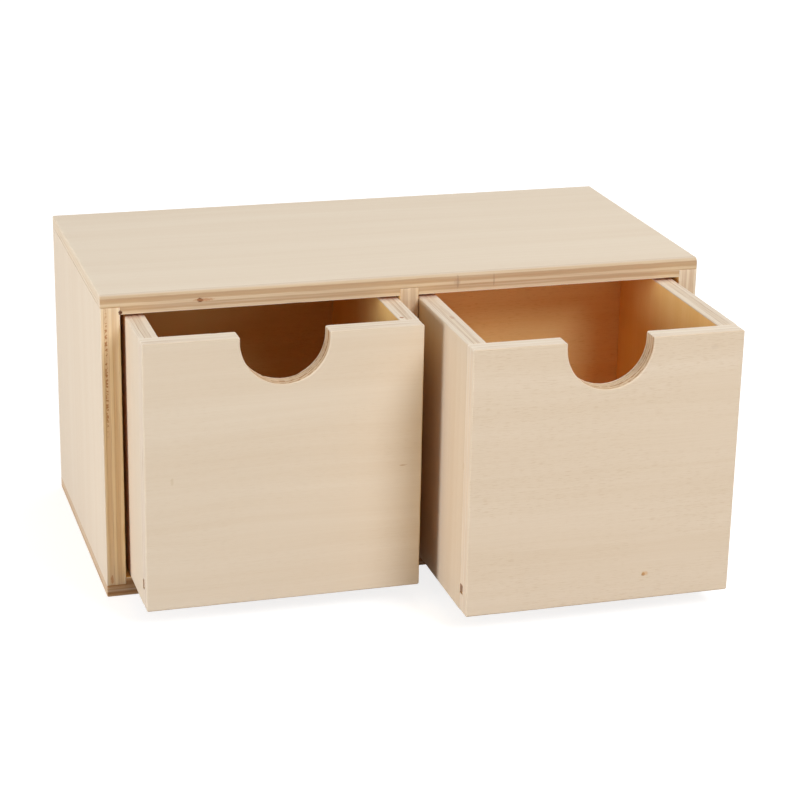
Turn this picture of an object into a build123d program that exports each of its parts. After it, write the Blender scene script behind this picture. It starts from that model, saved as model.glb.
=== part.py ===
from build123d import *
import os

# A small plywood chest with two open-topped drawers side by side, in millimetres.
# X runs to the right, Y to the back and Z up. The origin is the centre of the underside.

# Carcass
WIDTH = 200.0  # outside, left to right
DEPTH = 100.0  # outside, front edges to back
HEIGHT = 101.5  # outside, underside to top
BOARD = 6.3  # thickness of every carcass board
HOUSING_DEPTH = 2.4  # how far the uprights enter the top and the bottom
NOSING_RADIUS = 2.0  # rounding along the front of the top
ARRIS_RADIUS = 0.5  # sanded outer edges

# Drawers
DRAWER_BOARD = 6.3  # thickness of the four walls
DRAWER_OUTER_GAP = 1.6  # running gap beside the carcass side
DRAWER_INNER_GAP = 0.2  # running gap beside the divider
DRAWER_TOP_GAP = 1.0  # running gap under the top
DRAWER_BACK_GAP = 0.5  # gap to the back panel when the drawer is shut
NOTCH_WIDTH = 28.2  # finger notch, side to side
NOTCH_STRAIGHT = 1.9  # upright part of the notch above its half round
BOTTOM_BOARD = 3.0  # thickness of the thin bottom
BOTTOM_PLAY = 0.2  # slack of the bottom in its groove, at each edge and above
GROOVE_DEPTH = 2.5  # groove for the bottom, cut into each wall
GROOVE_HEIGHT = 6.0  # lower edge of the wall to the groove
LEFT_OPEN = 28.0  # how far the left drawer stands out
RIGHT_OPEN = 56.0  # how far the right drawer stands out

# Cutting tools run this far past the board
OVERRUN = 1.0

# Sizes that follow
front_y = -DEPTH / 2
back_y = DEPTH / 2
back_face_y = back_y - BOARD
inner_half_width = WIDTH / 2 - BOARD
housed_low_z = BOARD - HOUSING_DEPTH
housed_high_z = HEIGHT - housed_low_z
bay_width = inner_half_width - BOARD / 2
drawer_width = bay_width - DRAWER_OUTER_GAP - DRAWER_INNER_GAP
drawer_centre_x = BOARD / 2 + DRAWER_INNER_GAP + drawer_width / 2
drawer_height = HEIGHT - 2 * BOARD - DRAWER_TOP_GAP
drawer_length = DEPTH - BOARD - DRAWER_BACK_GAP
bottom_reach = GROOVE_DEPTH - BOTTOM_PLAY
notch_radius = NOTCH_WIDTH / 2


def block(x_range, y_range, z_range):
    """A square board that fills the three ranges."""
    low = Vector(x_range[0], y_range[0], z_range[0])
    high = Vector(x_range[1], y_range[1], z_range[1])
    size = high - low
    return Pos(low) * Box(size.X, size.Y, size.Z, align=(Align.MIN, Align.MIN, Align.MIN))


def eased(board, axis, end, radius):
    """Round the edges that bound the outermost face along an axis."""
    face = board.faces().sort_by(axis)[end]
    return fillet(face.edges(), radius)


def housings(z_range):
    """The cuts in the top or bottom: a rabbet at each end and a stopped housing in the middle."""
    through_y = (front_y - OVERRUN, back_y + OVERRUN)
    left = block((-WIDTH / 2 - OVERRUN, -inner_half_width), through_y, z_range)
    right = block((inner_half_width, WIDTH / 2 + OVERRUN), through_y, z_range)
    middle = block((-BOARD / 2, BOARD / 2), (front_y - OVERRUN, back_face_y), z_range)
    return [left, right, middle]


def top_panel():
    """The top, housed from below, with its front edge rounded over and the others sanded."""
    panel = block((-WIDTH / 2, WIDTH / 2), (front_y, back_y), (HEIGHT - BOARD, HEIGHT))
    upper = panel.faces().sort_by(Axis.Z)[-1].edges().sort_by(Axis.Y)
    panel = fillet(upper[0], NOSING_RADIUS)
    upper = panel.faces().sort_by(Axis.Z)[-1].edges().sort_by(Axis.Y)
    panel = fillet(upper[1:], ARRIS_RADIUS)
    return panel - housings((HEIGHT - BOARD - OVERRUN, housed_high_z))


def bottom_panel():
    """The bottom, housed from above, with its under edges sanded."""
    panel = block((-WIDTH / 2, WIDTH / 2), (front_y, back_y), (0, BOARD))
    panel = eased(panel, Axis.Z, 0, ARRIS_RADIUS)
    return panel - housings((housed_low_z, BOARD + OVERRUN))


def upright(x_range, y_range):
    """A side panel or the divider, standing in the housings of the top and the bottom."""
    return block(x_range, y_range, (housed_low_z, housed_high_z))


def back_panel():
    """The back, inset between the four boards round it and flush with their back edges."""
    return block(
        (-inner_half_width, inner_half_width), (back_face_y, back_y), (BOARD, HEIGHT - BOARD)
    )


def finger_notch(centre_x, y_range, top_z):
    """The cutter of a notch: a half round with short upright sides, open at the top."""
    round_z = top_z - NOTCH_STRAIGHT
    length = y_range[1] - y_range[0]
    centre = Pos(centre_x, (y_range[0] + y_range[1]) / 2, round_z)
    half_round = centre * Rot(X=90) * Cylinder(notch_radius, length)
    sides = block(
        (centre_x - notch_radius, centre_x + notch_radius), y_range, (round_z, top_z + OVERRUN)
    )
    return half_round + sides


def drawer(centre_x, opening):
    """The five boards of one drawer, by name, standing out of its bay by the opening."""
    left_x = centre_x - drawer_width / 2
    right_x = centre_x + drawer_width / 2
    outer_y = front_y - opening
    rear_y = outer_y + drawer_length
    wall_z = (BOARD, BOARD + drawer_height)
    inner_x = (left_x + DRAWER_BOARD, right_x - DRAWER_BOARD)
    inner_y = (outer_y + DRAWER_BOARD, rear_y - DRAWER_BOARD)
    groove_z = (BOARD + GROOVE_HEIGHT, BOARD + GROOVE_HEIGHT + BOTTOM_BOARD + BOTTOM_PLAY)

    front = block((left_x, right_x), (outer_y, inner_y[0]), wall_z)
    notch_y = (outer_y - OVERRUN, inner_y[0] + OVERRUN)
    front = front - finger_notch(centre_x, notch_y, wall_z[1])
    front = eased(front, Axis.Y, 0, ARRIS_RADIUS)
    across_x = (left_x - OVERRUN, right_x + OVERRUN)
    front = front - block(across_x, (inner_y[0] - GROOVE_DEPTH, inner_y[0] + OVERRUN), groove_z)

    back = block((left_x, right_x), (inner_y[1], rear_y), wall_z)
    back = back - block(across_x, (inner_y[1] - OVERRUN, inner_y[1] + GROOVE_DEPTH), groove_z)

    along_y = (inner_y[0] - OVERRUN, inner_y[1] + OVERRUN)
    left = block((left_x, inner_x[0]), inner_y, wall_z)
    left = left - block((inner_x[0] - GROOVE_DEPTH, inner_x[0] + OVERRUN), along_y, groove_z)
    right = block((inner_x[1], right_x), inner_y, wall_z)
    right = right - block((inner_x[1] - OVERRUN, inner_x[1] + GROOVE_DEPTH), along_y, groove_z)

    bottom = block(
        (inner_x[0] - bottom_reach, inner_x[1] + bottom_reach),
        (inner_y[0] - bottom_reach, inner_y[1] + bottom_reach),
        (groove_z[0], groove_z[0] + BOTTOM_BOARD),
    )
    return {"front": front, "back": back, "left_side": left, "right_side": right, "bottom": bottom}


nodes = {
    "top_panel": top_panel(),
    "bottom_panel": bottom_panel(),
    "left_side_panel": upright((-WIDTH / 2, -inner_half_width), (front_y, back_y)),
    "right_side_panel": upright((inner_half_width, WIDTH / 2), (front_y, back_y)),
    "centre_divider": upright((-BOARD / 2, BOARD / 2), (front_y, back_face_y)),
    "back_panel": back_panel(),
}
for name, board in drawer(-drawer_centre_x, LEFT_OPEN).items():
    nodes["left_drawer_" + name] = board
for name, board in drawer(drawer_centre_x, RIGHT_OPEN).items():
    nodes["right_drawer_" + name] = board

os.makedirs("parts", exist_ok=True)
for name, solid in nodes.items():
    export_step(solid, "parts/" + name + ".step")
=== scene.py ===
import bpy
import numpy as np
from mathutils import Matrix, Vector


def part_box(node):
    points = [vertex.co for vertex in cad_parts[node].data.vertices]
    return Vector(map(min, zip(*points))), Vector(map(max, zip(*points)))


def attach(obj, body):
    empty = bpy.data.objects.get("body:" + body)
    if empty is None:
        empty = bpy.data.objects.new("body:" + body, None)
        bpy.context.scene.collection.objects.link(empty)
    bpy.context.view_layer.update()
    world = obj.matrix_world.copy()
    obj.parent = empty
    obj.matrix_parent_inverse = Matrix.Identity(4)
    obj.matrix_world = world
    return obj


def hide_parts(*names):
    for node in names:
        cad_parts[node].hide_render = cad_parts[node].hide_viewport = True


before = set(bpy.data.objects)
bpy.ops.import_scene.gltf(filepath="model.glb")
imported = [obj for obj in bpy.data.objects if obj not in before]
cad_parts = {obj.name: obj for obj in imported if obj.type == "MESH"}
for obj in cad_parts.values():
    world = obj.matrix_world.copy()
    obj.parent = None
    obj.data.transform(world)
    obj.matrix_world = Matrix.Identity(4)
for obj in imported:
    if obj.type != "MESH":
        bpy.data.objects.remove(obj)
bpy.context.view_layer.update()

# The bottom panel is a bare five-ply board that the whole chest stands on.
# It is sawn to size and sanded, with a rabbet cut along each end for the sides
# and a stopped housing in the middle for the divider, all glued.
MM = 0.001
STEP = 1.5  # spacing of points round a board's edge
SLIT = 0.01  # half the run of a cut's upright wall
CORNER = 0.35  # rounding of a board's corner, seen flat
JOINT_ARRIS = 0.13  # edge that meets another board
SANDED_ARRIS = 0.45  # edge that a hand can touch
WEAR_FADE = 3 * STEP  # wear dies away over this length beside a board's corner
WEAR_SEEDS = 100  # seeds that each board's wear has to itself
LEVEL_SHARES = np.array([0, 0.005, 0.013, 0.025, 0.042, 0.062, 0.088, 0.12, 0.155, 0.19, 0.235, 0.28,
                         0.325, 0.37, 0.415, 0.46, 0.5])
LEVELS = np.concatenate([LEVEL_SHARES, 1 - LEVEL_SHARES[-2::-1]])  # rows of points, closest by the faces
CORE_SHARE = 0.085  # half the core ply, as a share of the thickness
CROSS_SHARE = 0.331  # middle of the board to the outside of its cross plies
PLY_BLEND = 0.02  # share of the thickness over which a ply passes into the next
GRAIN_SHIFT = np.array([137.0, 61.0, 0])  # moves each board to grain of its own
CREASE = np.radians(32)  # faces that meet at a sharper bend are shaded apart
WOBBLE = 0.02  # of a sawn edge
HOLLOW = 0.045  # depth of the hollow along a cross ply
CHIP = 0.4  # deepest chip at the outer arris
CHIP_FADE = 0.3  # and how deep it goes in
INNER_CHIP = 0.6  # the same at the inner arris
INNER_CHIP_FADE = 0.35


def wander(path, spacing, seed):
    """Seeded random heights from -1 to 1 at even knots along a path, joined by half cosine waves."""
    knots = np.random.default_rng(seed).uniform(-1, 1, int(path.max() / spacing) + 3)
    low = np.floor(path / spacing).astype(int)
    blend = 0.5 - 0.5 * np.cos(np.pi * (path / spacing - low))
    return knots[low] * (1 - blend) + knots[low + 1] * blend


def shaved(depth, radius):
    """How far a rounded edge stands back at a depth under its face: a quarter circle of the radius."""
    return radius - np.sqrt(radius**2 - np.clip(radius - depth, 0, radius) ** 2)


def chips(path, size, rarity, group, seed):
    """Chips along an edge, from 0 to 1: the tops of a quick random wave where a slow one is above zero."""
    return np.clip(wander(path, size, seed) - rarity, 0, 1) * np.clip(wander(path, group, seed + 1), 0, 1)


def sawn_edge(path, depth, thick, wear, seed):
    """Inward wear of a cut edge in millimetres, by place along it and depth: a slow wobble, plus hollows
    where the softer cross plies were sanded away, plus small chips torn from either arris, which die
    away with depth."""
    middle = np.abs(depth - thick / 2) / thick
    past_core = np.clip((middle - CORE_SHARE) / PLY_BLEND, 0, 1)
    cross = past_core * np.clip((CROSS_SHARE - middle) / PLY_BLEND, 0, 1)
    hollow = HOLLOW + 0.03 * wander(path, 2.3, seed) + 0.02 * wander(path, 7.0, seed + 1)
    wobble = WOBBLE * (1 + wander(path, 17.0, seed + 2))
    chip = chips(path, size=1.7, rarity=0.5, group=13.0, seed=seed + 3)
    inner_chip = chips(path, size=1.9, rarity=0.4, group=9.0, seed=seed + 5)
    torn = CHIP * chip * np.exp(-depth / CHIP_FADE)
    torn = torn + INNER_CHIP * inner_chip * np.exp((depth - thick) / INNER_CHIP_FADE)
    return wear * (wobble + cross * hollow + torn)


def stations(length, cut_edges):
    """Places along a side: even steps, two close ones at each corner, and a pair at each edge of a cut."""
    even = np.linspace(0, length, max(2, round(length / STEP)) + 1)
    near = CORNER * np.array([0.5, 1.0])
    inside = np.array([edge for edge in cut_edges if 0 < edge < length])
    pairs = np.add.outer(inside, [-SLIT, SLIT]).ravel()
    return np.unique(np.concatenate([even, near, length - near, pairs]).round(4))


def board_frame(node, axes):
    """Size of a node along its grain, across it and through it, and the matrix from there to the frame.
    Each axis is a letter with a sign, and the last one points inwards from the outer face."""
    low, high = (np.array(corner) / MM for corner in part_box(node))
    order = ["xyz".index(axis[-1]) for axis in axes]
    signs = np.array([-1 if axis[0] == "-" else 1 for axis in axes])
    turn = np.zeros((3, 3))
    turn[range(3), order] = signs
    origin = np.where(turn.sum(0) > 0, low, high)
    return (high - low)[order], turn, origin


def stand(name, data):
    """A new object in the scene, at the origin."""
    thing = bpy.data.objects.new(name, data)
    bpy.context.scene.collection.objects.link(thing)
    return thing


def board_piece(node, body, axes, wall, rim_endness, rim_raw, inside_points, outer_faces, inner_faces,
                material, seed):
    """Put a board together: rows of wall points from the outer rim to the inner one, the points inside
    its two faces, and the faces over them. The wall's quads join each row to the next. For each face, cut
    is 1 on a sawn edge, then 1 on an end of the grain, then 1 where it is rough or turned inwards. Grain
    holds millimetres along, across and through the board."""
    _, turn, origin = board_frame(node, axes)
    levels, count = wall.shape[:2]
    local = np.concatenate([wall.reshape(-1, 3), inside_points.reshape(-1, 3)])
    near = np.arange(count) + count * np.arange(levels - 1)[:, None]
    far = np.roll(np.arange(count), -1) + count * np.arange(levels - 1)[:, None]
    quads = np.stack([near, far, far + count, near + count], axis=-1).reshape(-1, 4)
    faces = quads.tolist() + outer_faces + inner_faces
    if np.linalg.det(turn) < 0:
        faces = [face[::-1] for face in faces]
    mesh = bpy.data.meshes.new(node + "_board")
    mesh.from_pydata((local @ turn + origin) * MM, [], faces)
    cut = np.zeros((len(faces), 3))
    cut[: len(quads), 0] = 1
    cut[: len(quads), 1] = np.tile(rim_endness, levels - 1)
    cut[: len(quads), 2] = np.tile(rim_raw, levels - 1)
    cut[len(quads) + len(outer_faces) :, 2] = 1
    mesh.attributes.new("cut", "FLOAT_VECTOR", "FACE").data.foreach_set("vector", cut.ravel())
    grain = local + GRAIN_SHIFT * seed
    mesh.attributes.new("grain", "FLOAT_VECTOR", "POINT").data.foreach_set("vector", grain.ravel())
    mesh.shade_smooth()
    mesh.set_sharp_from_angle(angle=CREASE)
    pairs = np.zeros(len(mesh.edges) * 2, int)
    mesh.edges.foreach_get("vertices", pairs)
    ends = pairs.reshape(-1, 2)
    rims = (ends < count).all(1) | ((ends >= (levels - 1) * count) & (ends < levels * count)).all(1)
    sharp = np.zeros(len(ends), bool)
    mesh.attributes["sharp_edge"].data.foreach_get("value", sharp)
    mesh.attributes["sharp_edge"].data.foreach_set("value", sharp | rims)
    mesh.materials.append(material)
    piece = stand(node + "_board", mesh)
    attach(piece, body)
    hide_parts(node)


def plain_board(node, body, axes, outer_arris, inner_arris, material, seed, cuts=(), wear=1.0):
    """A rectangular board. At each depth the outline is the rectangle drawn in by the rounded arrises:
    place = start + share of side * (side - start - end), less the wear of the cut edge. Both faces are
    grids, and the inner one sinks by each cut's depth. An arris has four sizes: at the start and the end
    of the grain, then at the start and the end across it. A cut is its range along, its range across and
    its depth."""
    (length, breadth, thick), _, _ = board_frame(node, axes)
    along = stations(length, [edge for cut in cuts for edge in cut[0]])
    across = stations(breadth, [edge for cut in cuts for edge in cut[1]])
    grid_u, grid_v = np.meshgrid(along, across)
    local_thick = np.full(grid_u.shape, thick)
    for (u0, u1), (v0, v1), sunk in cuts:
        local_thick[(grid_u > u0) & (grid_u < u1) & (grid_v > v0) & (grid_v < v1)] -= sunk

    def drawn_in(u, v, depth, deep):
        """Places on the rectangle at a depth, where the board is so deep."""
        ease = [shaved(depth, outer) + shaved(deep - depth, inner)
                for outer, inner in zip(outer_arris, inner_arris)]
        return (ease[0] + u / length * (length - ease[0] - ease[1]),
                ease[2] + v / breadth * (breadth - ease[2] - ease[3]))

    index = np.arange(grid_u.size).reshape(grid_u.shape)
    ring = np.concatenate([index[0, :-1], index[:-1, -1], index[-1, :0:-1], index[:0:-1, 0]])
    u, v, deep = (grid.ravel()[ring] for grid in (grid_u, grid_v, local_thick))
    inward_u = (u == along[0]) * 1.0 - (u == along[-1])
    inward_v = (v == across[0]) * 1.0 - (v == across[-1])
    tip = CORNER * (1 - np.sqrt(0.5))  # middle of a round corner, in from either side
    clear_u, clear_v = np.clip(u, tip, length - tip), np.clip(v, tip, breadth - tip)
    round_u = clear_u + inward_u * (shaved(np.minimum(clear_v, breadth - clear_v), CORNER) - tip)
    round_v = clear_v + inward_v * (shaved(np.minimum(clear_u, length - clear_u), CORNER) - tip)
    round_u = np.where(inward_u == 0, clear_u, round_u)
    round_v = np.where(inward_v == 0, clear_v, round_v)

    path = np.concatenate([[0], np.cumsum(np.hypot(np.diff(u), np.diff(v)))])
    to_corner = np.maximum(np.minimum(u, length - u), np.minimum(v, breadth - v))
    depth = LEVELS[:, None] * deep
    worn = sawn_edge(path, depth, thick, wear, WEAR_SEEDS * seed) * np.clip(to_corner / WEAR_FADE, 0, 1)
    wall_u, wall_v = drawn_in(round_u, round_v, depth, deep)
    wall = np.stack([wall_u + inward_u * worn, wall_v + inward_v * worn, depth], axis=-1)

    middle = (slice(1, -1), slice(1, -1))
    face_u, face_v = drawn_in(grid_u[middle], grid_v[middle], 0, thick)
    back_u, back_v = drawn_in(grid_u[middle], grid_v[middle], local_thick[middle], local_thick[middle])
    inside = np.stack([np.stack([face_u, face_v, 0 * face_u], axis=-1),
                       np.stack([back_u, back_v, local_thick[middle]], axis=-1)])
    count, wall_points = len(ring), wall.shape[0] * wall.shape[1]
    caps = []
    for first_rim, first_inside in ((0, wall_points), (wall_points - count, wall_points + face_u.size)):
        numbers = np.zeros(grid_u.size, int)
        numbers[ring] = first_rim + np.arange(count)
        numbers = numbers.reshape(grid_u.shape)
        numbers[middle] = first_inside + np.arange(face_u.size).reshape(face_u.shape)
        corners = [numbers[:-1, :-1], numbers[:-1, 1:], numbers[1:, 1:], numbers[1:, :-1]]
        caps.append(np.stack(corners, axis=-1).reshape(-1, 4))
    on_end = ((inward_u != 0) & (inward_u == np.roll(inward_u, -1))).astype(float)
    board_piece(node, body, axes, wall, on_end, 0 * on_end, inside,
                caps[0][:, ::-1].tolist(), caps[1].tolist(), material, seed)


def paint(red, green, blue):
    """A colour written as screen values up to 255, as the linear light that a shader takes."""
    share = np.array([red, green, blue]) / 255
    linear = np.where(share > 0.04045, ((share + 0.055) / 1.055) ** 2.4, share / 12.92)
    return (*linear.tolist(), 1.0)


def blank_tree(owner):
    """The emptied shader tree of a material or of the world."""
    owner.use_nodes = True
    owner.node_tree.nodes.clear()
    return owner.node_tree


def put(tree, kind, sockets, **options):
    """Add a shader node, set its options, and feed its sockets with values or with other nodes' outputs."""
    node = tree.nodes.new("ShaderNode" + kind)
    for name, value in options.items():
        setattr(node, name, value)
    for name, value in sockets.items():
        if isinstance(value, bpy.types.NodeSocket):
            tree.links.new(value, node.inputs[name])
        else:
            node.inputs[name].default_value = value
    return node


def reckon(tree, operation, *values, clamp=False):
    """A Math node's result, kept from 0 to 1 where it is clamped."""
    return put(tree, "Math", dict(enumerate(values)), operation=operation, use_clamp=clamp).outputs[0]


def between(tree, share, first, second):
    """Two values mixed by a share."""
    return put(tree, "Mix", {0: share, 2: first, 3: second}, data_type="FLOAT").outputs[0]


def mingle(tree, share, first, second, blend="MIX"):
    """Two colours mixed by a share."""
    return put(tree, "Mix", {0: share, 6: first, 7: second}, data_type="RGBA", blend_type=blend).outputs[2]


def tinted(tree, colour, tint):
    """A colour times a tint."""
    return mingle(tree, 1.0, colour, tint, "MULTIPLY")


def rise(tree, value, low, high):
    """A soft step from 0 at the low value to 1 at the high one."""
    sockets = {"Value": value, "From Min": low, "From Max": high}
    return put(tree, "MapRange", sockets, interpolation_type="SMOOTHSTEP").outputs[0]


def fall(tree, value, low, high):
    """A soft step from 1 at the low value to 0 at the high one."""
    return reckon(tree, "SUBTRACT", 1.0, rise(tree, value, low, high))


def figure(tree, first, second, scales, page, detail=2.0):
    """Noise drawn out by one scale per millimetre along the first place and one along the second. Each
    figure lies on a page of its own, and more detail adds finer waves to it."""
    place = put(tree, "CombineXYZ", {0: reckon(tree, "MULTIPLY", first, scales[0]),
                                     1: reckon(tree, "MULTIPLY", second, scales[1]), 2: page})
    sockets = {"Vector": place.outputs[0], "Scale": 1.0, "Detail": detail, "Roughness": 0.6}
    return put(tree, "TexNoise", sockets).outputs[0]


def new_group(name, inputs, outputs):
    """An empty shader node group with named sockets, and its input and output ends."""
    tree = bpy.data.node_groups.new(name, "ShaderNodeTree")
    for side, sockets in (("INPUT", inputs), ("OUTPUT", outputs)):
        for label, kind in sockets.items():
            tree.interface.new_socket(label, in_out=side, socket_type="NodeSocket" + kind)
    return tree, tree.nodes.new("NodeGroupInput").outputs, tree.nodes.new("NodeGroupOutput").inputs


def sliced_veneer_group():
    """Sliced pale veneer: slow bands and finer streaks along the grain, and short dark dashes of
    torn fibre that come in patches. Grain holds millimetres along, across and through the board."""
    tree, given, made = new_group(
        "sliced veneer",
        {"Grain": "Vector", "Pale": "Color", "Deep": "Color", "Bands": "Float", "Dashes": "Float"},
        {"Color": "Color", "Height": "Float"})
    along, across, _ = put(tree, "SeparateXYZ", {0: given["Grain"]}).outputs
    sway = reckon(tree, "MULTIPLY", figure(tree, along, across, (0.011, 0.035), page=3.1, detail=1.0), 6.0)
    across = reckon(tree, "ADD", across, sway)
    bands = figure(tree, along, across, (0.0035, 0.11), page=7.7)
    streaks = figure(tree, along, across, (0.018, 1.6), page=11.3, detail=4.0)
    fibres = figure(tree, along, across, (0.06, 7.0), page=13.9)
    dashes = rise(tree, figure(tree, along, across, (0.34, 4.2), page=17.9, detail=1.0), 0.54, 0.70)
    patches = rise(tree, figure(tree, along, across, (0.02, 0.05), page=23.3, detail=1.0), 0.25, 0.60)
    dashes = reckon(tree, "MULTIPLY", dashes, patches)
    share = reckon(tree, "MULTIPLY", reckon(tree, "SUBTRACT", bands, 0.5), given["Bands"])
    share = reckon(tree, "MULTIPLY_ADD", reckon(tree, "SUBTRACT", streaks, 0.5), 0.9, share)
    share = reckon(tree, "MULTIPLY_ADD", reckon(tree, "SUBTRACT", fibres, 0.5), 0.5, share)
    share = reckon(tree, "ADD", share, 0.5, clamp=True)
    colour = mingle(tree, share, given["Pale"], given["Deep"])
    darkness = reckon(tree, "MULTIPLY", dashes, given["Dashes"])
    colour = mingle(tree, darkness, colour, tinted(tree, colour, DASH_TINT))
    tree.links.new(colour, made["Color"])
    height = reckon(tree, "MULTIPLY_ADD", dashes, -0.8, reckon(tree, "MULTIPLY", fibres, 0.7))
    tree.links.new(height, made["Height"])
    return tree


def ply_edge_group():
    """The sawn edge of plywood. Distance from the middle of the thickness tells the core, the cross plies
    and the face plies apart. Long streaks run along each ply, and thin glue lines, broken here and there,
    part them, darker on the outer half. Pits is 1 where pores were torn open in the outer cross ply, and
    Raw is 1 where the saw's cut was left rough, with a pale fringe of fibre along its inner rim."""
    tree, given, made = new_group(
        "ply edge",
        {"Grain": "Vector", "Endness": "Float", "Raw": "Float", "Thick": "Float", "Core": "Float",
         "Cross": "Float", "Side Face": "Color", "Side Cross": "Color", "End Face": "Color",
         "End Cross": "Color", "Lines": "Float", "Pits": "Float"},
        {"Color": "Color", "Height": "Float"})
    along, across, through = put(tree, "SeparateXYZ", {0: given["Grain"]}).outputs
    run = between(tree, given["Endness"], along, across)
    waver = reckon(tree, "SUBTRACT", figure(tree, run, through, (0.10, 0.2), page=2.2), 0.5)
    place = reckon(tree, "MULTIPLY_ADD", waver, WAVER, through)
    half = reckon(tree, "DIVIDE", given["Thick"], 2.0)
    middle = reckon(tree, "ABSOLUTE", reckon(tree, "SUBTRACT", place, half))
    from_core = reckon(tree, "SUBTRACT", middle, given["Core"])
    from_cross = reckon(tree, "SUBTRACT", middle, given["Cross"])
    cross = reckon(tree, "MULTIPLY", rise(tree, from_core, -PLY_SOFT, PLY_SOFT),
                   fall(tree, from_cross, -PLY_SOFT, PLY_SOFT))
    side = mingle(tree, cross, given["Side Face"], given["Side Cross"])
    end = mingle(tree, cross, given["End Face"], given["End Cross"])
    colour = mingle(tree, given["Endness"], side, end)
    lines = reckon(tree, "MULTIPLY_ADD", given["Raw"], 0.8, given["Lines"])
    streaks = figure(tree, run, through, (0.035, 3.4), page=5.5, detail=3.0)
    drift = figure(tree, run, through, (0.013, 0.8), page=6.6)
    shade = reckon(tree, "MULTIPLY", rise(tree, streaks, 0.46, 0.72), lines)
    colour = mingle(tree, reckon(tree, "MULTIPLY", shade, 0.6), colour, STREAK)
    colour = mingle(tree, reckon(tree, "MULTIPLY", rise(tree, drift, 0.48, 0.80), 0.4), colour, BLEACHED)
    colour = mingle(tree, given["Raw"], colour, tinted(tree, colour, UNSANDED_TINT))
    near = reckon(tree, "MINIMUM", reckon(tree, "ABSOLUTE", from_core), reckon(tree, "ABSOLUTE", from_cross))
    wide = reckon(tree, "MULTIPLY_ADD", given["Raw"], ROUGH_LINE, GLUE_LINE)
    line = fall(tree, near, 0.02, wide)
    broken = rise(tree, figure(tree, run, place, (0.06, 1.1), page=8.8, detail=3.0), 0.40, 0.64)
    whole = reckon(tree, "MULTIPLY_ADD", given["Raw"], 0.25, 0.12)
    line = reckon(tree, "MULTIPLY", line, reckon(tree, "MULTIPLY_ADD", broken, 0.9, whole))
    fainter = reckon(tree, "MULTIPLY_ADD", rise(tree, place, half, reckon(tree, "ADD", half, 0.1)), -0.6, 1.0)
    line = reckon(tree, "MULTIPLY", reckon(tree, "MULTIPLY", line, lines), fainter)
    colour = mingle(tree, line, colour, STREAK)
    fringe = rise(tree, through, reckon(tree, "SUBTRACT", given["Thick"], FRINGE_DEPTH),
                  reckon(tree, "SUBTRACT", given["Thick"], FRINGE_FULL))
    tufts = rise(tree, figure(tree, run, half, (0.5, 0.3), page=4.4), 0.35, 0.5)
    fringe = reckon(tree, "MULTIPLY", fringe, tufts)
    colour = mingle(tree, reckon(tree, "MULTIPLY", fringe, given["Raw"]), colour, FRINGE)
    in_cross = reckon(tree, "MULTIPLY", reckon(tree, "ADD", given["Core"], given["Cross"]), 0.55)
    beside = reckon(tree, "SUBTRACT", reckon(tree, "SUBTRACT", half, place), in_cross)
    beside = fall(tree, reckon(tree, "ABSOLUTE", beside), 0.2, PORE_ROW)
    pits = rise(tree, figure(tree, run, place, (1.3, 1.0), page=9.9, detail=1.0), 0.46, 0.60)
    pits = reckon(tree, "MULTIPLY", reckon(tree, "MULTIPLY", pits, beside), given["Pits"])
    colour = mingle(tree, reckon(tree, "MULTIPLY", pits, 0.8), colour, PORE)
    tree.links.new(colour, made["Color"])
    height = reckon(tree, "MULTIPLY_ADD", line, -0.6, reckon(tree, "MULTIPLY", streaks, 0.6))
    tree.links.new(reckon(tree, "MULTIPLY_ADD", pits, -2.0, height), made["Height"])
    return tree


def pin_knot_group():
    """A small round mark: 1 at its centre and 0 outside its reach, with an uneven rim. Place and Centre
    are in metres, and Reach is its radius along each axis."""
    tree, given, made = new_group(
        "pin knot", {"Place": "Vector", "Centre": "Vector", "Reach": "Vector"}, {"Mask": "Float"})
    away = put(tree, "VectorMath", {0: given["Place"], 1: given["Centre"]}, operation="SUBTRACT").outputs[0]
    away = put(tree, "VectorMath", {0: away, 1: given["Reach"]}, operation="DIVIDE").outputs[0]
    ragged = put(tree, "TexNoise", {"Vector": given["Place"], "Scale": RAGGED, "Detail": 2.0}).outputs[0]
    far = put(tree, "VectorMath", {0: away}, operation="LENGTH").outputs["Value"]
    far = reckon(tree, "MULTIPLY_ADD", reckon(tree, "SUBTRACT", ragged, 0.5), 0.9, far)
    tree.links.new(fall(tree, far, 0.5, 1.0), made["Mask"])
    return tree


STREAK = paint(158, 114, 74)  # glue and dark fibre
BLEACHED = paint(236, 221, 198)
FRINGE = paint(246, 232, 212)  # torn fibre
PORE = paint(160, 102, 58)
WAVER = 0.4  # how far the plies waver in depth
GLUE_LINE = 0.15  # half a glue line's breadth
ROUGH_LINE = 0.28  # how much more it is in a rough cut
FRINGE_DEPTH = 0.7  # reach of the torn fibre from the inner rim
FRINGE_FULL = 0.3  # nearer than this it covers the edge
PORE_ROW = 0.55  # half the breadth of a row of pores
RAGGED = 1800.0  # scale, per metre, of the uneven rim of a mark
DASH_TINT = (0.86, 0.80, 0.72, 1)  # short torn fibres darken the veneer by this
UNSANDED_TINT = (0.90, 0.81, 0.68, 1)  # a rough saw cut is darker than a sanded edge by this
PLY_SOFT = 0.2  # half the depth over which a ply's colour passes into the next
SKIN = 0.05  # depth under a face where its colour begins to fade into the edge
RELIEF = 0.06  # height of the grain in the bump
RELIEF_STRENGTH = 0.35
ROUGH = 0.72
RAISED_POLISH = -0.12  # raised grain is rubbed smoother
SHEEN = 0.15
WARMER = (1.03, 0.83, 0.38, 1)  # light grows warmer at each of the first two boards that pass it on
SHADED_INSIDE_VENEER = (paint(241, 207, 140), paint(235, 196, 124))  # inner faces, pale and deep, painted warmer and deeper than the outer faces as painted shade of the chest's inside
VENEER = sliced_veneer_group()
PLY_EDGE = ply_edge_group()
PIN_KNOT = pin_knot_group()


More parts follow.
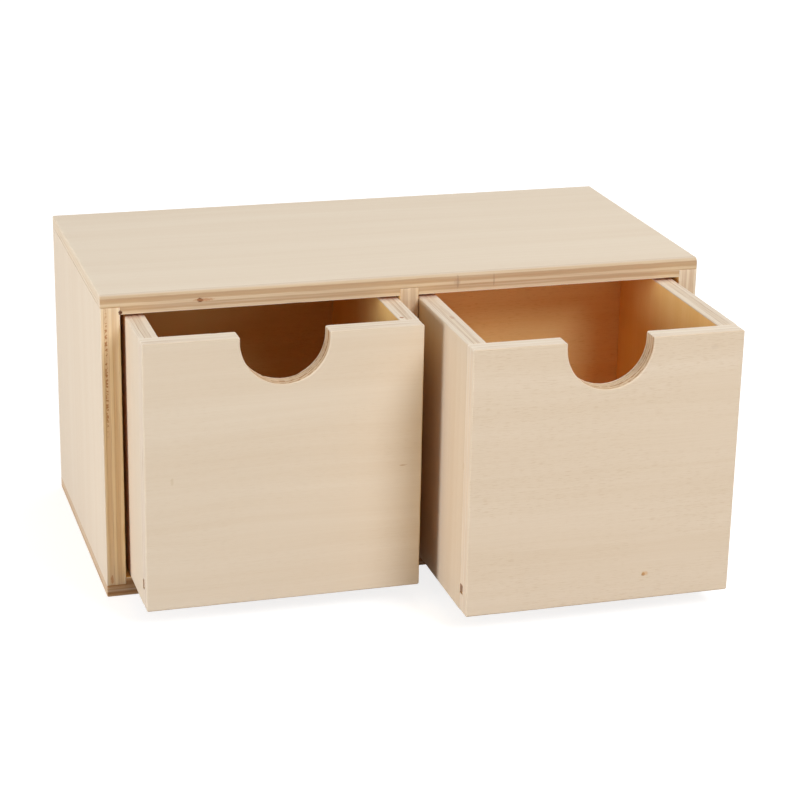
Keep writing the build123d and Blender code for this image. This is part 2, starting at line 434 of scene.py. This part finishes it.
def plywood(name, thick, outer, inner, edge, bands=1.6, dashes=0.4, lines=0.5, marks=(), torn=None,
            plies=(CORE_SHARE, CROSS_SHARE), over=0.6, rounded=None):
    """Bare sanded plywood: veneer on both faces, plies on the sawn edges, and marks at places of their own.
    A mark is (centre, reach) in millimetres, a colour and a strength, and torn is the centre and reach of
    a patch of torn pores. Edge holds the face and cross plies' colours on a side edge, then on an end edge.
    Bands, dashes and lines are the strengths of the veneer's bands, its torn fibre and the edge's lines.
    Plies are the reach of the core and of the cross plies from the middle, as shares of the thickness.
    Over is how deep the face's colour fades into the edge. Rounded is the depth and the tint of an outer
    arris, where the face ply is cut through at a slant; on the top's nosing the tint is painted shade."""
    material = bpy.data.materials.new(name)
    tree = blank_tree(material)
    grain = put(tree, "Attribute", {}, attribute_name="grain").outputs["Vector"]
    cut = put(tree, "Attribute", {}, attribute_name="cut").outputs["Vector"]
    is_edge, endness, is_inner = put(tree, "SeparateXYZ", {0: cut}).outputs
    through = put(tree, "SeparateXYZ", {0: grain}).outputs[2]
    faces = [put(tree, "Group", {"Grain": grain, "Pale": pale, "Deep": deep, "Bands": bands,
                                 "Dashes": dashes}, node_tree=VENEER) for pale, deep in (outer, inner)]
    face_colour = mingle(tree, is_inner, faces[0].outputs["Color"], faces[1].outputs["Color"])
    place = put(tree, "TexCoord", {}).outputs["Object"]

    def spot(centre, reach):
        """The mask of a mark on this board."""
        sockets = {"Place": place, "Centre": [value * MM for value in centre],
                   "Reach": [value * MM for value in reach]}
        return put(tree, "Group", sockets, node_tree=PIN_KNOT).outputs["Mask"]

    sawn = put(tree, "Group", {"Grain": grain, "Endness": endness, "Raw": is_inner, "Thick": thick,
                               "Core": thick * plies[0], "Cross": thick * plies[1], "Side Face": edge[0],
                               "Side Cross": edge[1], "End Face": edge[2], "End Cross": edge[3],
                               "Lines": lines, "Pits": spot(*torn) if torn else 0.0}, node_tree=PLY_EDGE)
    rim_depth = reckon(tree, "MINIMUM", through, reckon(tree, "SUBTRACT", thick, through))
    under_face = rise(tree, rim_depth, SKIN, over)
    edge_colour = mingle(tree, under_face, faces[0].outputs["Color"], sawn.outputs["Color"])
    if rounded:
        deep, tint = rounded
        slant = fall(tree, through, 0.5 * deep, deep)
        slant = reckon(tree, "MULTIPLY", slant, reckon(tree, "SUBTRACT", 1.0, endness))
        edge_colour = mingle(tree, slant, edge_colour, tinted(tree, edge_colour, tint))
    colour = mingle(tree, is_edge, face_colour, edge_colour)
    for centre, reach, stain, strength in marks:
        colour = mingle(tree, reckon(tree, "MULTIPLY", spot(centre, reach), strength), colour, stain)
    bounces = put(tree, "LightPath", {}).outputs["Ray Depth"]
    for before in (0.0, 1.0):
        later = reckon(tree, "SUBTRACT", bounces, before, clamp=True)
        colour = mingle(tree, later, colour, tinted(tree, colour, WARMER))
    height = between(tree, is_edge, faces[0].outputs["Height"], sawn.outputs["Height"])
    relief = {"Strength": RELIEF_STRENGTH, "Distance": RELIEF * MM, "Height": height}
    bump = put(tree, "Bump", relief).outputs[0]
    rough = reckon(tree, "MULTIPLY_ADD", height, RAISED_POLISH, ROUGH)
    shader = put(tree, "BsdfPrincipled", {"Base Color": colour, "Roughness": rough, "Normal": bump,
                                          "Specular IOR Level": SHEEN})
    put(tree, "OutputMaterial", {"Surface": shader.outputs[0]})
    return material


side_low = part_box("left_side_panel")[0]
back_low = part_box("back_panel")[0]
divider_low, divider_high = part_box("centre_divider")
bottom_low, bottom_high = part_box("bottom_panel")
WIDTH, DEPTH, BOARD = (bottom_high - bottom_low) / MM
housing_sunk = (back_low.z - side_low.z) / MM
divider_run = [(x - bottom_low.x) / MM for x in (divider_low.x, divider_high.x)]
divider_stop = (divider_high.y - bottom_low.y) / MM
PAST = 1.0  # a cut that is open at a board's end runs past it by this much
whole_depth = (-PAST, DEPTH + PAST)
housings = [((-PAST, BOARD), whole_depth, housing_sunk),
            ((WIDTH - BOARD, WIDTH + PAST), whole_depth, housing_sunk),
            (divider_run, (-PAST, divider_stop), housing_sunk)]
# The plies on the bottom's front edge are painted dark brown as painted shade near the floor.
shaded_bottom_edge = (paint(186, 146, 106), paint(164, 122, 84), paint(219, 195, 168), paint(212, 186, 157))
bottom_outer = (paint(224, 207, 184), paint(214, 192, 163))
bottom_ply = plywood("bottom_plywood", BOARD, bottom_outer, SHADED_INSIDE_VENEER, shaded_bottom_edge, lines=0.8)
plain_board("bottom_panel", "carcass", ("x", "y", "z"), (SANDED_ARRIS,) * 4,
            (JOINT_ARRIS,) * 4, bottom_ply, seed=1, cuts=housings)

# The two side panels stand in the end rabbets of the bottom, of the same five-ply board.
# Their grain runs upright, and they are glued in. Their front edges show the plies, paler on the
# right, with rows of open pores on the left where the saw crossed the grain.
FRONT_Y = side_low.y / MM
EDGE_ARRIS = 0.3  # lightly sanded edge
INNER_ARRIS = 0.25  # edge inside the chest
side_edge = (paint(231, 210, 178), paint(219, 193, 159), paint(218, 193, 162), paint(208, 179, 144))
right_side_edge = (paint(224, 206, 182), paint(211, 188, 163), *side_edge[2:])
side_outer = (paint(231, 218, 201), paint(226, 211, 192))
VOID_SHADE = ((-93.6, FRONT_Y, 95.9), (0.75, 1.4, 0.85), paint(84, 44, 22), 0.95)  # dark spot of painted shade for a small hole at the joint under the top
STAIN = ((-98.2, FRONT_Y, 6.0), (0.55, 1.2, 2.0), paint(176, 110, 62), 0.6)  # reddish streak low on the left
PORE_ROWS = ((-98, FRONT_Y, 77), (3, 3, 24))
left_side_ply = plywood("left_side_plywood", BOARD, side_outer, SHADED_INSIDE_VENEER, side_edge, dashes=0.12,
                        lines=0.45, marks=[VOID_SHADE, STAIN], torn=PORE_ROWS)
right_side_ply = plywood("right_side_plywood", BOARD, side_outer, SHADED_INSIDE_VENEER, right_side_edge,
                         dashes=0.12, lines=0.45)
side_arris = (JOINT_ARRIS, JOINT_ARRIS, EDGE_ARRIS, SANDED_ARRIS)
for node, inwards, side_ply, seed in (("left_side_panel", "x", left_side_ply, 2),
                                      ("right_side_panel", "-x", right_side_ply, 3)):
    plain_board(node, "carcass", ("z", "y", inwards), side_arris,
                (INNER_ARRIS,) * 4, side_ply, seed)

# The divider stands in the middle housings and parts the two bays.
# It is the same board as the sides, stopped where the back panel begins, and glued.
# The divider's edge is painted a little darker than the sides' edges, as painted shade between the drawers.
shaded_divider_edge = (paint(217, 193, 162), paint(205, 179, 149), paint(208, 186, 158), paint(198, 172, 140))
divider_ply = plywood("divider_plywood", BOARD, SHADED_INSIDE_VENEER, SHADED_INSIDE_VENEER, shaded_divider_edge,
                      dashes=0.3, lines=0.35, over=0.12)
divider_arris = (JOINT_ARRIS, JOINT_ARRIS, INNER_ARRIS, JOINT_ARRIS)
plain_board("centre_divider", "carcass", ("z", "y", "x"), divider_arris, divider_arris,
            divider_ply, seed=4)

# The back panel is let in between the sides, the top and the bottom, flush with their back edges.
# It is one sheet with its grain across the chest, glued all round.
back_ply = plywood("back_plywood", BOARD, (paint(228, 212, 190), paint(217, 197, 170)), SHADED_INSIDE_VENEER,
                   side_edge, bands=2.2, dashes=0.5)
plain_board("back_panel", "carcass", ("x", "z", "-y"), (JOINT_ARRIS * 2,) * 4,
            (JOINT_ARRIS,) * 4, back_ply, seed=5)

# The top closes the carcass, housed over the sides and the divider like the bottom.
# Its front edge is rounded over, so the face veneer curves down to the plies, where a pin knot,
# two hairline cracks and a small void at the left joint show. The rounding is painted darker as
# painted shade, and the void is a dark spot of painted shade.
NOSING = 2.0
# grey darkening of the rounded nosing: painted shade
NOSING_SHADE = (0.86, 0.84, 0.83, 1)
top_edge = (paint(212, 189, 157), paint(190, 160, 126), paint(229, 215, 195), paint(226, 210, 188))
top_marks = [((-68.4, FRONT_Y, 98.3), (1.3, 1.2, 0.85), paint(92, 46, 28), 0.95),  # pin knot
             ((-67.2, FRONT_Y, 98.3), (4.2, 1.2, 0.6), paint(182, 126, 84), 0.65),  # brown grain round it
             VOID_SHADE,
             ((16.3, FRONT_Y, 98.4), (0.5, 1.4, 3.0), paint(150, 122, 98), 0.42),  # crack
             ((16.0, FRONT_Y, 98.6), (1.5, 1.2, 1.2), paint(172, 144, 120), 0.35),  # shade beside it
             ((28.6, FRONT_Y, 98.6), (0.4, 1.4, 3.0), paint(156, 126, 100), 0.4)]  # second crack
top_ply = plywood("top_plywood", BOARD, (paint(229, 215, 195), paint(223, 206, 184)), SHADED_INSIDE_VENEER, top_edge,
                  bands=1.6, dashes=0.06, lines=0.35, marks=top_marks, over=0.5,
                  rounded=(NOSING, NOSING_SHADE))
plain_board("top_panel", "carcass", ("x", "y", "-z"),
            (SANDED_ARRIS, SANDED_ARRIS, NOSING, SANDED_ARRIS), (JOINT_ARRIS,) * 4, top_ply, seed=6,
            cuts=housings)

# Each drawer front is a five-ply board with a half-round finger notch sawn in its top edge.
# Its grain runs across, its arrises are lightly sanded, the saw left torn fibres round the notch,
# and the groove for the drawer's bottom runs out at both ends. The sides are glued behind it.
NOTCH_WIDTH = 28.2
NOTCH_STRAIGHT = 1.9
NOTCH_ARRIS = 0.6  # corner between the notch and the top edge, seen flat
NOTCH_BACK_ARRIS = 0.2  # its edge on the inner face
NOTCH_NEAR = 0.1  # points this near the notch's sides belong to it
NOTCH_WEAR = 1.5  # times the wear of a plain board
FRONT_WEAR = 0.9  # the same elsewhere round the edge
ARC_STEP = 0.6 * STEP  # spacing of points round a bend
GROOVE_DEPTH = 2.5
GROOVE_PLAY = 0.2
FRONT_ARRIS = 0.4
SANDING_SHARE = 0.25  # how unevenly a hand sands that arris
SANDING_STROKE = 6.0
SANDING_SEED = 9


def groove_heights(side, wall):
    """How far up a wall of a drawer the groove for the bottom begins and ends."""
    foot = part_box(wall)[0].z / MM
    low, high = (corner.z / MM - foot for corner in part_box(side + "_drawer_bottom"))
    return low, high + GROOVE_PLAY


def run(start, end, edges=()):
    """Points along a straight run, without its last one, and the unit normals to its left. Each edge of
    a cut, by its place along the run, gets a pair of points."""
    start, end = np.array(start), np.array(end)
    length = np.linalg.norm(end - start)
    heading = (end - start) / length
    pairs = np.add.outer(np.array(edges), [-SLIT, SLIT]).ravel()
    places = np.union1d(np.linspace(0, length, max(1, round(length / STEP)) + 1), pairs)[:-1]
    normals = np.tile([-heading[1], heading[0]], (len(places), 1))
    return start + places[:, None] * heading, normals


def bend(centre, radius, first, last):
    """Points round an arc between two angles, without its last one, and the unit normals to its left."""
    count = max(4, round(abs(last - first) * radius / ARC_STEP))
    angle = np.linspace(first, last, count + 1)[:-1]
    spokes = np.stack([np.cos(angle), np.sin(angle)], axis=-1)
    return np.array(centre) + radius * spokes, -np.sign(last - first) * spokes


def notched_outline(width, height, groove):
    """The front's outline, anticlockwise from its lower left: straight runs with small round corners,
    and a notch of a half circle under short upright sides. Groove edges are places up each end."""
    quarter = np.pi / 2
    notch = NOTCH_WIDTH / 2
    left, right = width / 2 - notch, width / 2 + notch
    floor = height - NOTCH_STRAIGHT
    tip = NOTCH_ARRIS
    low, high = tip, height - tip
    climb = [edge - low for edge in groove]
    drop = [high - edge for edge in groove]
    legs = [
        run((tip, 0), (width - tip, 0)),
        bend((width - tip, low), tip, -quarter, 0),
        run((width, low), (width, high), climb),
        bend((width - tip, high), tip, 0, quarter),
        run((width - tip, height), (right + tip, height)),
        bend((right + tip, high), tip, quarter, 2 * quarter),
        run((right, high), (right, floor)),
        bend((width / 2, floor), notch, 0, -2 * quarter),
        run((left, floor), (left, high)),
        bend((left - tip, high), tip, 0, quarter),
        run((left - tip, height), (tip, height)),
        bend((tip, high), tip, quarter, 2 * quarter),
        run((0, high), (0, low), drop),
        bend((tip, low), tip, 2 * quarter, 3 * quarter),
    ]
    return (np.concatenate(part) for part in zip(*legs))


def drawer_front(side, material, seed):
    """A notched board: the edge profile carried round the outline, drawn in along its normals by the
    rounded arrises and the saw's wear, closed by a flat outer face and by bands inside that step
    down to the floor of the groove."""
    node = side + "_drawer_front"
    axes = ("x", "z", "y")
    (width, height, thick), _, _ = board_frame(node, axes)
    groove = groove_heights(side, node)
    points, inward = notched_outline(width, height, groove)
    count = len(points)
    in_groove = (points[:, 1] > groove[0]) & (points[:, 1] < groove[1])
    deep = np.where(in_groove, thick - GROOVE_DEPTH, thick)
    steps = np.linalg.norm(np.roll(points, -1, axis=0) - points, axis=1)
    path = np.cumsum(steps) - steps
    from_middle = np.abs(points[:, 0] - width / 2)
    in_notch = (from_middle < NOTCH_WIDTH / 2 + NOTCH_NEAR) & (points[:, 1] > height / 2)
    depth = LEVELS[:, None] * deep
    worn = sawn_edge(path, depth, thick, 1.0, WEAR_SEEDS * seed) * np.where(in_notch, NOTCH_WEAR, FRONT_WEAR)
    strokes = wander(path, SANDING_STROKE, WEAR_SEEDS * seed + SANDING_SEED)
    arris = FRONT_ARRIS * (1 + SANDING_SHARE * strokes)
    back_arris = np.where(in_notch, NOTCH_BACK_ARRIS, JOINT_ARRIS)
    drawn = shaved(depth, arris) + shaved(deep - depth, back_arris) + worn
    flat = points + drawn[..., None] * inward
    wall = np.concatenate([flat, depth[..., None]], axis=-1)
    rim = np.arange(count)
    last = (len(LEVELS) - 1) * count
    stops = [0, groove[0] - SLIT, groove[0] + SLIT, groove[1] - SLIT, groove[1] + SLIT, height]
    bands = []
    for low, high in zip(stops[:-1], stops[1:]):
        within = (points[:, 1] > low - SLIT / 2) & (points[:, 1] < high + SLIT / 2)
        bands.append((last + rim[within]).tolist())
    endness = np.abs(inward[:, 0])
    board_piece(node, side + "_drawer", axes, wall, endness, in_notch.astype(float),
                np.zeros((0, 3)), [rim[::-1].tolist()], bands, material, seed)


FRONT_ROUNDED = (0.9, (0.91, 0.88, 0.84, 1))  # depth and tint of the arris
front_edge = (paint(234, 222, 205), paint(226, 211, 191), paint(227, 216, 202), paint(224, 211, 195))
front_low, front_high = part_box("left_drawer_front")
DRAWER_THICK = (front_high.y - front_low.y) / MM
left_front_y = front_low.y / MM
right_front_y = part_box("right_drawer_front")[0].y / MM
left_marks = [((-83.5, left_front_y, 49.3), (0.6, 1, 1.5), paint(200, 180, 146), 0.35),  # tan smudge
              ((-9.6, left_front_y, 48.1), (1.5, 1, 0.3), paint(186, 152, 114), 0.6)]  # brown fleck
right_marks = [((62.6, right_front_y, 14.8), (0.75, 1, 0.7), paint(136, 86, 44), 0.95),  # pin knot
               ((63.1, right_front_y, 15.0), (1.5, 1, 1.0), paint(214, 172, 122), 0.6),  # tan grain round it
               ((82.2, right_front_y, 89.4), (1.6, 1, 1.0), paint(206, 188, 168), 0.3)]  # faint smudge
left_front_ply = plywood("left_front_plywood", DRAWER_THICK, (paint(224, 211, 193), paint(218, 202, 181)),
                         SHADED_INSIDE_VENEER, front_edge, bands=1.8, dashes=0.2, lines=0.6, marks=left_marks,
                         rounded=FRONT_ROUNDED)
right_front_ply = plywood("right_front_plywood", DRAWER_THICK, (paint(227, 212, 193), paint(219, 201, 178)),
                          SHADED_INSIDE_VENEER, front_edge, bands=1.4, dashes=0.55, lines=0.4, marks=right_marks,
                          rounded=FRONT_ROUNDED)
drawer_front("left", left_front_ply, seed=7)
drawer_front("right", right_front_ply, seed=8)

# Each drawer's sides are plain three-ply boards butted and glued behind the front.
# Their grain runs upright, a groove for the bottom runs along the inside, and the sanded top edges
# are pale, with thin brown glue lines between three plies. The left drawer's outer faces are painted
# paler as painted light, and the right drawer's darker as painted shade.
wall_edge = (paint(225, 211, 192), paint(216, 199, 177)) * 2
# outer faces: the left drawer's painted paler as painted light, the right drawer's darker as painted shade
wall_outers_by_light = {"left": (paint(226, 214, 198), paint(219, 204, 183)),
               "right": (paint(219, 205, 187), paint(212, 195, 173))}
THREE_PLY = (-0.1, 0.17)  # no core ply, and one cross ply in the middle third
RIM_ARRIS = 0.35  # upper edge of a drawer's wall
wall_marks = [((-8.2, left_front_y + 8.7, 94.0), (0.9, 0.8, 0.8), paint(160, 96, 60), 0.85),  # speck
              ((7.1, right_front_y + 33.2, 94.0), (0.9, 2.2, 0.8), paint(188, 150, 124), 0.6)]  # stain
wall_arris = (EDGE_ARRIS, RIM_ARRIS, JOINT_ARRIS, JOINT_ARRIS)
for number, (side, outer_by_light) in enumerate(wall_outers_by_light.items()):
    wall_ply = plywood(side + "_drawer_side_plywood", DRAWER_THICK, outer_by_light, SHADED_INSIDE_VENEER, wall_edge,
                       dashes=0.2, lines=0.75, marks=wall_marks, plies=THREE_PLY)
    for turn, (hand, inwards) in enumerate((("left", "x"), ("right", "-x"))):
        node = side + "_drawer_" + hand + "_side"
        axes = ("z", "y", inwards)
        length = board_frame(node, axes)[0][1]
        groove = (groove_heights(side, node), (-PAST, length + PAST), GROOVE_DEPTH)
        plain_board(node, side + "_drawer", axes, wall_arris, wall_arris, wall_ply,
                    seed=9 + 2 * number + turn, cuts=[groove])

# Each drawer's back is a full-width board across the ends of the sides, with the same groove.
# Its grain runs across, and it is glued on. Its inner face is painted warm and deep as painted shade
# of the drawer's inside, the right drawer's less deep as painted light.
# inner faces: deep as painted shade, the right drawer's paler as painted light
back_veneers_by_light = {"left": (paint(226, 201, 136), paint(220, 190, 120)),
                "right": (paint(248, 221, 158), paint(242, 209, 140))}
drawer_back_arris = (JOINT_ARRIS, JOINT_ARRIS, EDGE_ARRIS, EDGE_ARRIS)
for number, (side, veneer) in enumerate(back_veneers_by_light.items()):
    drawer_back_ply = plywood(side + "_drawer_back_plywood", DRAWER_THICK, wall_outers_by_light[side], veneer,
                              front_edge, bands=2.2, dashes=0.6, lines=0.4)
    node = side + "_drawer_back"
    axes = ("x", "z", "-y")
    width = board_frame(node, axes)[0][0]
    groove = ((-PAST, width + PAST), groove_heights(side, node), GROOVE_DEPTH)
    plain_board(node, side + "_drawer", axes, (RIM_ARRIS,) * 4, drawer_back_arris,
                drawer_back_ply, seed=13 + number, cuts=[groove])

# Each drawer's bottom is a thin three-ply sheet that lies loose in the grooves.
# Its veneer is deeper in colour than the outside of the walls, as painted shade of the drawer's inside.
SHEET_ARRIS = (0.15,) * 4
sheet_low, sheet_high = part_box("left_drawer_bottom")
bottom_thick = (sheet_high.z - sheet_low.z) / MM
thin_ply = plywood("thin_plywood", bottom_thick, SHADED_INSIDE_VENEER, SHADED_INSIDE_VENEER, wall_edge, bands=2.2,
                   plies=THREE_PLY)
for number, side in enumerate(("left", "right")):
    plain_board(side + "_drawer_bottom", side + "_drawer", ("x", "y", "z"),
                SHEET_ARRIS, SHEET_ARRIS, thin_ply, seed=15 + number, wear=0.5)

# The stage is a broad floor under soft white light from all round, with a key lamp in front on the
# right and weaker ones overhead, low on the left, in front and behind. The floor shows white to the
# camera and still takes the chest's shadow, and throws light back at it as a warm table top would.
FLOOR_REACH = 4.0  # metres, like the places of the lamps and the camera
FLOOR_SHADE = 0.36  # share of the floor's white that light and shadow make
GLOW = 0.82  # the rest of it, and a little over
TABLE = (0.40, 0.34, 0.26, 1)  # light that the floor throws back at the chest
WHITE = (1, 1, 1, 1)
floor_mesh = bpy.data.meshes.new("floor")
floor_ends = np.array([-1, 1]) * FLOOR_REACH
floor_x, floor_y = np.meshgrid(floor_ends, floor_ends)
corners = np.stack([floor_x, floor_y, 0 * floor_x], axis=-1).reshape(-1, 3)
floor_mesh.from_pydata(corners, [], [[0, 1, 3, 2]])
floor = stand("floor", floor_mesh)


def seen_rays(tree):
    """1 for rays that the camera sees straight, mirrored or through glass, 0 for rays that carry light."""
    path = put(tree, "LightPath", {}).outputs
    mirrored = reckon(tree, "MAXIMUM", path["Is Glossy Ray"], path["Is Transmission Ray"])
    return reckon(tree, "MAXIMUM", path["Is Camera Ray"], mirrored)


floor_paint = bpy.data.materials.new("floor_paint")
tree = blank_tree(floor_paint)
seen = seen_rays(tree)
floor_tone = mingle(tree, seen, TABLE, (FLOOR_SHADE, FLOOR_SHADE, FLOOR_SHADE, 1))
glow = put(tree, "Emission", {"Color": WHITE, "Strength": reckon(tree, "MULTIPLY", seen, GLOW)})
matt = put(tree, "BsdfDiffuse", {"Color": floor_tone})
glowing_matt = put(tree, "AddShader", {0: matt.outputs[0], 1: glow.outputs[0]})
put(tree, "OutputMaterial", {"Surface": glowing_matt.outputs[0]})
floor_mesh.materials.append(floor_paint)

SKY = 0.34  # light from all round
world = bpy.data.worlds.new("studio")
bpy.context.scene.world = world
tree = blank_tree(world)
strength = between(tree, seen_rays(tree), SKY, 1.0)
sky = put(tree, "Background", {"Color": WHITE, "Strength": strength})
put(tree, "OutputWorld", {"Surface": sky.outputs[0]})

LAMP_AIM = Vector((0, -0.03, 0.05))


def lamp(name, spot, wide, tall, energy):
    """A soft oval lamp that faces the chest."""
    data = bpy.data.lights.new(name, "AREA")
    data.shape = "ELLIPSE"
    data.size = wide
    data.size_y = tall
    data.energy = energy
    light = stand(name, data)
    light.location = spot
    light.rotation_mode = "QUATERNION"
    light.rotation_quaternion = (LAMP_AIM - Vector(spot)).to_track_quat("-Z", "Y")


lamp("left_lamp", (-1.02, -0.27, 0.12), wide=0.5, tall=0.5, energy=8.1)
lamp("front_lamp", (0.3, -1.45, 0.3), wide=0.8, tall=0.4, energy=1.7)
lamp("key_lamp", (0.53, -1.05, 1.01), wide=0.5, tall=0.8, energy=13.6)
lamp("top_lamp", (0.2, 0.25, 1.5), wide=0.5, tall=0.5, energy=4.9)
lamp("back_lamp", (0.55, 1.15, 0.05), wide=0.7, tall=0.09, energy=6.0)

# The camera stands to the left of the chest and a little above it, where the photograph's edges
# run to, with a long lens and a slight roll.
CAMERA_SPOT = (-0.2043, -0.71634, 0.30541)
CAMERA_TURN = np.radians(16.852)  # to the right of straight ahead
CAMERA_TILT = np.radians(19.439)  # down from level
CAMERA_ROLL = np.radians(1.136)
LENS = 101.79  # millimetres
ahead = np.array([np.sin(CAMERA_TURN) * np.cos(CAMERA_TILT),
                  np.cos(CAMERA_TURN) * np.cos(CAMERA_TILT), -np.sin(CAMERA_TILT)])
level = np.array([np.cos(CAMERA_TURN), -np.sin(CAMERA_TURN), 0])
upright = np.cross(level, ahead)
right = np.cos(CAMERA_ROLL) * level + np.sin(CAMERA_ROLL) * upright
up = np.cos(CAMERA_ROLL) * upright - np.sin(CAMERA_ROLL) * level
camera_data = bpy.data.cameras.new("camera")
camera_data.lens = LENS
camera = stand("camera", camera_data)
facing = Matrix(np.stack([right, up, -ahead], axis=1).tolist()).to_4x4()
camera.matrix_world = Matrix.Translation(CAMERA_SPOT) @ facing
bpy.context.scene.camera = camera
bpy.context.scene.view_settings.view_transform = "Standard"
